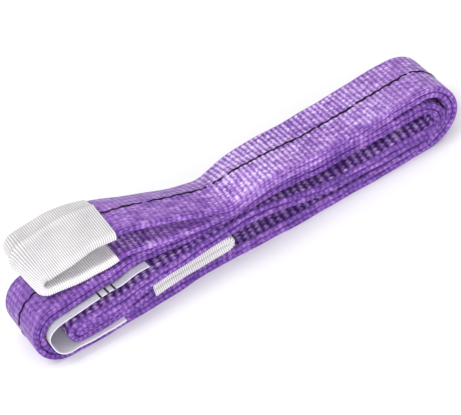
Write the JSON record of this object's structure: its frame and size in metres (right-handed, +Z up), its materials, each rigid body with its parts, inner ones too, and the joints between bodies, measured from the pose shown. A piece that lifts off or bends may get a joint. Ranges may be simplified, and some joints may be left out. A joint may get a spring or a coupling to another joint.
{
  "type": "flat web sling",
  "caption": "Flat lifting sling of sewn webbing, wound up into a hank, with a soft sleeved eye left free on top for a hook or shackle.",
  "frame": {"origin": "middle of the bottom of the wound-up hank's box, on the floor", "axes": "+X along the hank, away from the free eye; +Z up; -Y is the side on which the strands' edges are seen from the front"},
  "size_m": [0.2102, 0.0422, 0.0455],
  "materials": {
    "webbing": "woven polyester, slightly shiny",
    "tracer_yarn": "matt",
    "sleeve_cloth": "matt ribbed weave",
    "label": "smooth coated tape"
  },
  "bodies": {
    "hank": {"body_outer_ply": "webbing", "body_inner_ply": "webbing", "body_tracer_yarn": "tracer_yarn", "inner_eye_loop": "webbing", "inner_eye_sleeve": "sleeve_cloth", "inner_eye_tracer_yarn": "tracer_yarn", "label": "label"},
    "outer_eye": {"outer_eye_loop": "webbing", "outer_eye_sleeve": "sleeve_cloth", "outer_eye_tracer_yarn": "tracer_yarn"}
  },
  "joints": [
    {"name": "outer_eye_lift", "type": "hinge", "parent": "hank", "child": "outer_eye", "pos_m": [-0.00905, -0.0031, 0.0321], "axis": [0, 0.9925, -0.1219], "range_deg": [0, 120]}
  ]
}
